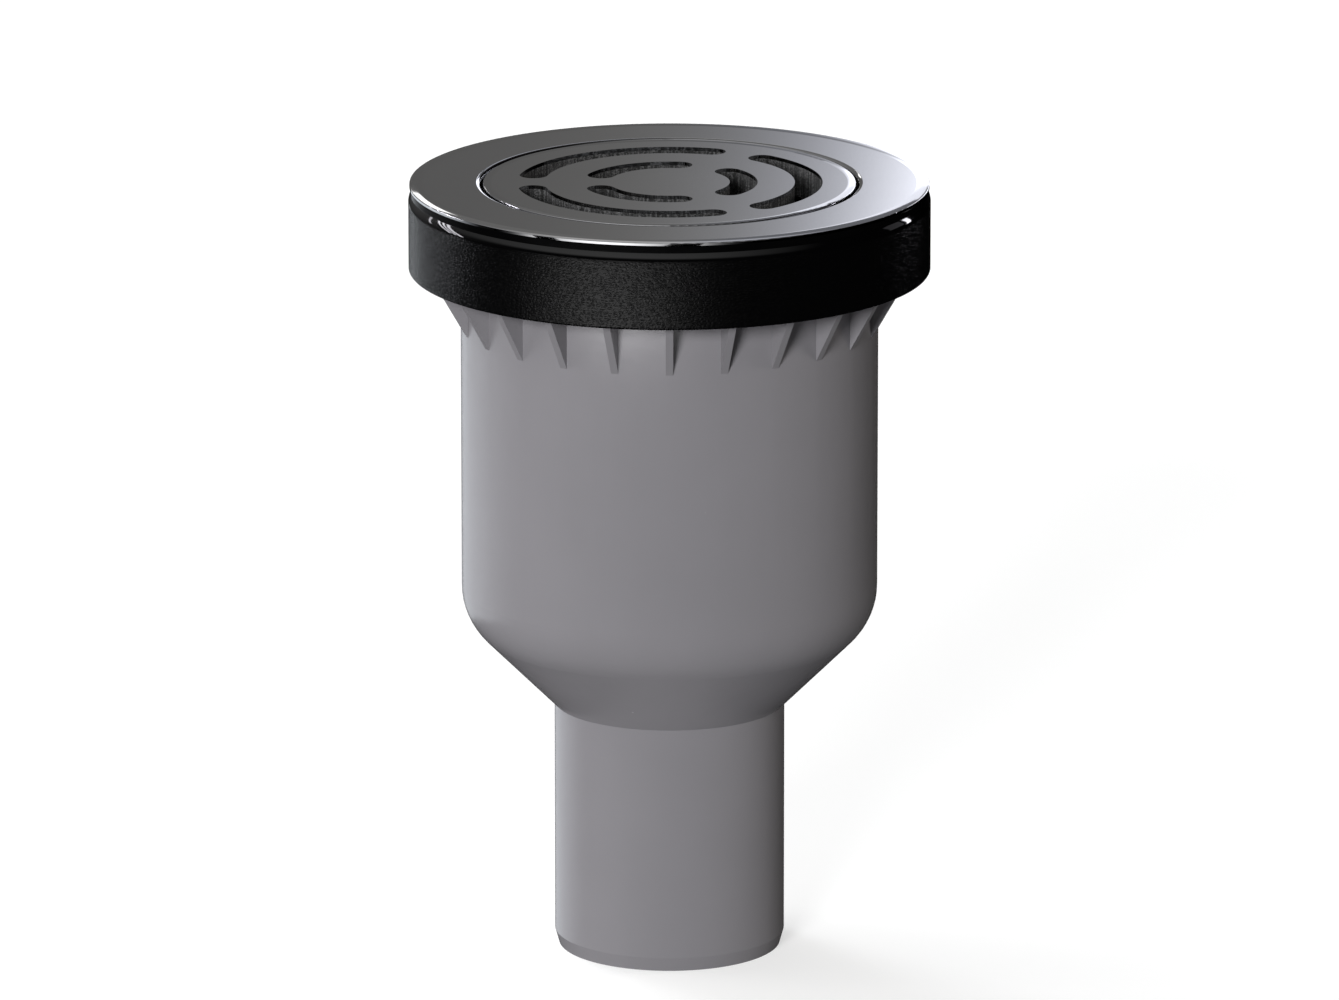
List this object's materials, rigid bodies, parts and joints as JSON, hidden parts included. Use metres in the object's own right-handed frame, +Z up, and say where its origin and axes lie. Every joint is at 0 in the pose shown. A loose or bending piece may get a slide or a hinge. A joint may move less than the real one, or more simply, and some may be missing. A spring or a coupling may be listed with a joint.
{
  "type": "shower trap",
  "caption": "Vertical-outlet shower trap: grey body with gusseted flange, black seal ring, polished cover and slotted grate over a lift-out dip tube and water cup.",
  "frame": {"origin": "centre of the outlet's lower end, on the common axis", "axes": "+Z up along the common axis from the outlet to the grate; one gusset points along -Y and one web of the grate along -X"},
  "size_m": [0.1126, 0.1126, 0.1702],
  "materials": {
    "body_plastic": "fine satin grey moulding",
    "seal_rubber": "leather grain on the wall, smooth rounded top edge",
    "black_plastic": "smooth black",
    "polished_steel": "polished",
    "grained_plastic": "coarse black grain",
    "insert_plastic": "satin black",
    "cup_plastic": "satin grey",
    "ring_rubber": "smooth black rubber"
  },
  "bodies": {
    "root": {"trap_body": "body_plastic", "tray_seal": "seal_rubber", "clamp_flange": "black_plastic", "cover_plate": "polished_steel", "grate_plate": "polished_steel", "grate_carrier": "grained_plastic", "grate_ring": "ring_rubber", "dip_tube": "insert_plastic", "dip_tube_ring": "ring_rubber", "water_cup": "cup_plastic"}
  },
  "joints": []
}
